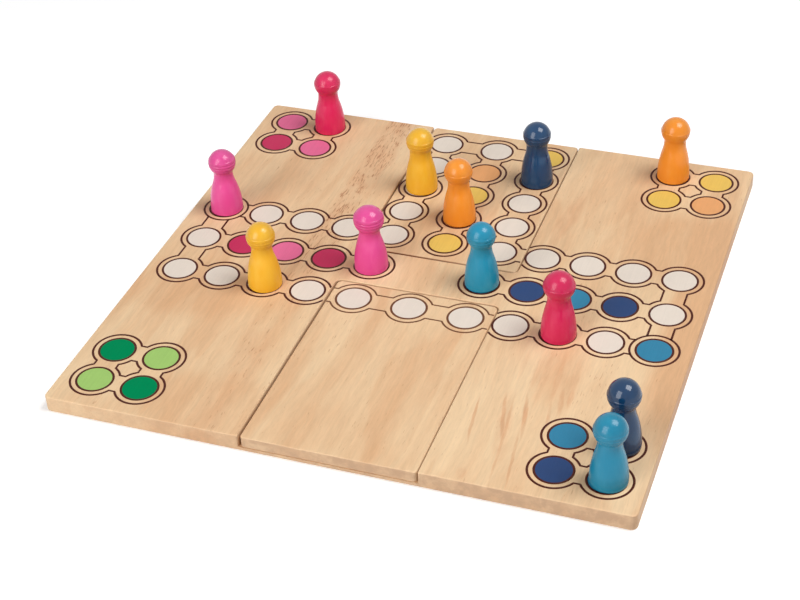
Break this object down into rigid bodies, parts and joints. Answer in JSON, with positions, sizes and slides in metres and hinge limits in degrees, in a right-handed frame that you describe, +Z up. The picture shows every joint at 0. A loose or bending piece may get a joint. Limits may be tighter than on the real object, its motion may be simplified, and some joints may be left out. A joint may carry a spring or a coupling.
{
  "type": "ludo board with drop-in tiles and pawns",
  "caption": "Flat wooden ludo board with open-ended pockets that hold loose printed tiles, and turned wooden pawns standing on its round fields.",
  "frame": {"origin": "middle of the board's underside, on the surface it lies on", "axes": "+Z up, +X along the right-hand arm, +Y along the back arm, which is printed on the back tile"},
  "size_m": [0.36, 0.36, 0.0574],
  "materials": {
    "board_wood": "satin clear varnish over pale straight-grained wood",
    "tile_wood": "satin clear varnish over pale straight-grained wood",
    "crimson_paint": "gloss crimson paint on turned wood",
    "pink_paint": "gloss pink paint on turned wood",
    "yellow_paint": "gloss yellow paint on turned wood",
    "orange_paint": "gloss orange paint on turned wood",
    "navy_paint": "gloss navy paint on turned wood",
    "blue_paint": "gloss light blue paint on turned wood",
    "outline_ink": "dark brown screen-printed line",
    "white_ink": "off-white screen-printed disc",
    "crimson_ink": "crimson screen-printed disc",
    "pink_ink": "pink screen-printed disc",
    "dark_green_ink": "dark green screen-printed disc",
    "light_green_ink": "light green screen-printed disc",
    "yellow_ink": "yellow screen-printed disc",
    "orange_ink": "pale orange screen-printed disc",
    "navy_ink": "navy screen-printed disc",
    "blue_ink": "light blue screen-printed disc"
  },
  "bodies": {
    "board": {"board": "board_wood"},
    "back_tile": {"back_tile": "tile_wood"},
    "front_tile": {"front_tile": "tile_wood"},
    "crimson_home_pawn": {"crimson_home_pawn": "crimson_paint"},
    "crimson_track_pawn": {"crimson_track_pawn": "crimson_paint"},
    "pink_start_pawn": {"pink_start_pawn": "pink_paint"},
    "pink_path_pawn": {"pink_path_pawn": "pink_paint"},
    "yellow_track_pawn": {"yellow_track_pawn": "yellow_paint"},
    "yellow_tile_pawn": {"yellow_tile_pawn": "yellow_paint"},
    "orange_tile_pawn": {"orange_tile_pawn": "orange_paint"},
    "orange_home_pawn": {"orange_home_pawn": "orange_paint"},
    "navy_tile_pawn": {"navy_tile_pawn": "navy_paint"},
    "navy_home_pawn": {"navy_home_pawn": "navy_paint"},
    "blue_path_pawn": {"blue_path_pawn": "blue_paint"},
    "blue_home_pawn": {"blue_home_pawn": "blue_paint"}
  },
  "joints": [
    {"name": "back_tile_lift", "type": "slide", "parent": "board", "child": "back_tile", "axis": [0, 0, 1], "range_m": [0, 0.06]},
    {"name": "front_tile_lift", "type": "slide", "parent": "board", "child": "front_tile", "axis": [0, 0, 1], "range_m": [0, 0.06]},
    {"name": "crimson_home_pawn_lift", "type": "slide", "parent": "board", "child": "crimson_home_pawn", "axis": [0, 0, 1], "range_m": [0, 0.06]},
    {"name": "crimson_track_pawn_lift", "type": "slide", "parent": "board", "child": "crimson_track_pawn", "axis": [0, 0, 1], "range_m": [0, 0.06]},
    {"name": "pink_start_pawn_lift", "type": "slide", "parent": "board", "child": "pink_start_pawn", "axis": [0, 0, 1], "range_m": [0, 0.06]},
    {"name": "pink_path_pawn_lift", "type": "slide", "parent": "board", "child": "pink_path_pawn", "axis": [0, 0, 1], "range_m": [0, 0.06]},
    {"name": "yellow_track_pawn_lift", "type": "slide", "parent": "board", "child": "yellow_track_pawn", "axis": [0, 0, 1], "range_m": [0, 0.06]},
    {"name": "yellow_tile_pawn_lift", "type": "slide", "parent": "back_tile", "child": "yellow_tile_pawn", "axis": [0, 0, 1], "range_m": [0, 0.06]},
    {"name": "orange_tile_pawn_lift", "type": "slide", "parent": "back_tile", "child": "orange_tile_pawn", "axis": [0, 0, 1], "range_m": [0, 0.06]},
    {"name": "orange_home_pawn_lift", "type": "slide", "parent": "board", "child": "orange_home_pawn", "axis": [0, 0, 1], "range_m": [0, 0.06]},
    {"name": "navy_tile_pawn_lift", "type": "slide", "parent": "back_tile", "child": "navy_tile_pawn", "axis": [0, 0, 1], "range_m": [0, 0.06]},
    {"name": "navy_home_pawn_lift", "type": "slide", "parent": "board", "child": "navy_home_pawn", "axis": [0, 0, 1], "range_m": [0, 0.06]},
    {"name": "blue_path_pawn_lift", "type": "slide", "parent": "board", "child": "blue_path_pawn", "axis": [0, 0, 1], "range_m": [0, 0.06]},
    {"name": "blue_home_pawn_lift", "type": "slide", "parent": "board", "child": "blue_home_pawn", "axis": [0, 0, 1], "range_m": [0, 0.06]}
  ]
}
